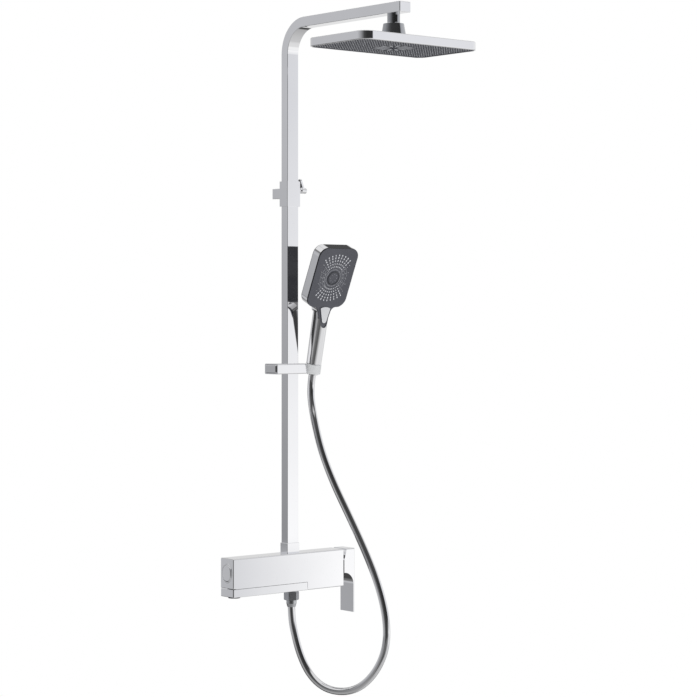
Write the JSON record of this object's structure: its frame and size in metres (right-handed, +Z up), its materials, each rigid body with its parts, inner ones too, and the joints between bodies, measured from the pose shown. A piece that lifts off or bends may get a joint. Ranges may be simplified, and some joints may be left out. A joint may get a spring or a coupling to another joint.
{
  "type": "shower column",
  "caption": "Exposed wall shower column: mixer bar with lever and swing spout, riser with overhead rain head, sliding holder with hand shower and hose.",
  "frame": {"origin": "on the wall plane, midway between the two threaded water inlets", "axes": "+Z up along the riser, +X to the right seen from the front, -Y out of the wall towards the bather"},
  "size_m": [0.3166, 0.466, 1.3661],
  "materials": {
    "chrome": "polished chrome plate",
    "brass": "cast and turned brass",
    "steel": "turned stainless steel",
    "grey_plastic": "moulded grey plastic",
    "dark_plastic": "dark grey moulded plastic with a soft gloss",
    "soft_nozzle": "soft grey silicone",
    "seal_rubber": "black sealing rubber",
    "hose_skin": "smooth silver hose skin"
  },
  "bodies": {
    "column": {"body_casing": "chrome", "waterway": "brass", "left_end_plate": "chrome", "button_bezel": "chrome", "diverter_gland": "brass", "right_end_plate": "chrome", "cartridge": "grey_plastic", "cartridge_nut": "brass", "outlet_nipple": "brass", "spout_seals": "seal_rubber", "spout_clip": "steel", "hose_nut": "chrome", "hose_ferrule": "chrome", "hose_washer": "seal_rubber", "riser_tube": "chrome", "riser_foot": "brass", "riser_collar": "chrome", "bracket_collar": "chrome", "bracket_standoff": "chrome", "bracket_post": "steel", "bracket_screw": "steel", "arm_cap": "chrome", "arm_stub": "chrome", "hose": "hose_skin", "union_nut_left": "chrome", "union_nut_right": "chrome", "wall_union_left": "chrome", "wall_union_right": "chrome", "inlet_filter_left": "seal_rubber", "inlet_filter_right": "seal_rubber", "escutcheon_left": "chrome", "escutcheon_right": "chrome"},
    "diverter": {"diverter_button": "chrome", "diverter_spool": "grey_plastic"},
    "turret": {"lever_turret": "steel", "cartridge_spindle": "steel"},
    "lever": {"lever_handle": "chrome", "lever_pin": "steel"},
    "spout": {"swing_spout": "chrome", "spout_aerator": "dark_plastic"},
    "clamp": {"clamp_lever": "chrome"},
    "ball_ring": {"ball_seat": "grey_plastic"},
    "rain_head": {"swivel_bell": "chrome", "head_shell": "chrome", "head_face": "dark_plastic", "head_nozzles": "soft_nozzle"},
    "slider": {"slider_body": "chrome", "slider_liner": "grey_plastic", "cradle_bolt": "steel"},
    "slider_push": {"slider_button": "chrome"},
    "holder": {"cradle": "chrome"},
    "handset": {"hose_cone": "chrome", "handset_shell": "chrome", "handset_back": "dark_plastic", "handset_face": "dark_plastic", "handset_nozzles": "soft_nozzle", "handset_disc": "chrome"},
    "mode_push": {"mode_button": "chrome"}
  },
  "joints": [
    {"name": "diverter_press", "type": "slide", "parent": "column", "child": "diverter", "axis": [1, 0, 0], "range_m": [0, 0.005], "stiffness_N_per_m": 900},
    {"name": "lever_turn", "type": "hinge", "parent": "column", "child": "turret", "pos_m": [0.12, -0.048, 0], "axis": [-1, 0, 0], "range_deg": [-10, 70]},
    {"name": "lever_lift", "type": "hinge", "parent": "turret", "child": "lever", "pos_m": [0.1335, -0.048, 0], "axis": [0, -1, 0], "range_deg": [0, 15]},
    {"name": "spout_swing", "type": "hinge", "parent": "column", "child": "spout", "pos_m": [0, -0.048, -0.04725], "axis": [0, 0, 1], "range_deg": [0, 100]},
    {"name": "clamp_turn", "type": "hinge", "parent": "column", "child": "clamp", "pos_m": [0.03, -0.043, 0.7655], "axis": [1, 0, 0], "range_deg": [-60, 60]},
    {"name": "head_spin", "type": "hinge", "parent": "column", "child": "ball_ring", "pos_m": [0, -0.362, 1.0561], "axis": [0, 0, 1], "continuous": true},
    {"name": "head_tilt", "type": "hinge", "parent": "ball_ring", "child": "rain_head", "pos_m": [0, -0.362, 1.0561], "axis": [1, 0, 0], "range_deg": [-10, 10]},
    {"name": "slider_slide", "type": "slide", "parent": "column", "child": "slider", "axis": [0, 0, 1], "range_m": [-0.25, 0.28], "deforming": ["hose"]},
    {"name": "slider_button_press", "type": "slide", "parent": "slider", "child": "slider_push", "axis": [1, 0, 0], "range_m": [0, 0.0022], "stiffness_N_per_m": 900},
    {"name": "holder_tilt", "type": "hinge", "parent": "slider", "child": "holder", "pos_m": [0.03, -0.052, 0.4028], "axis": [1, 0, 0], "range_deg": [-5, 35], "deforming": ["hose"]},
    {"name": "handset_lift", "type": "slide", "parent": "holder", "child": "handset", "axis": [0, -0.213, 0.977], "range_m": [0, 0.06], "deforming": ["hose"]},
    {"name": "mode_press", "type": "slide", "parent": "handset", "child": "mode_push", "axis": [0, 0.9857, 0.1685], "range_m": [0, 0.0018], "stiffness_N_per_m": 700}
  ]
}
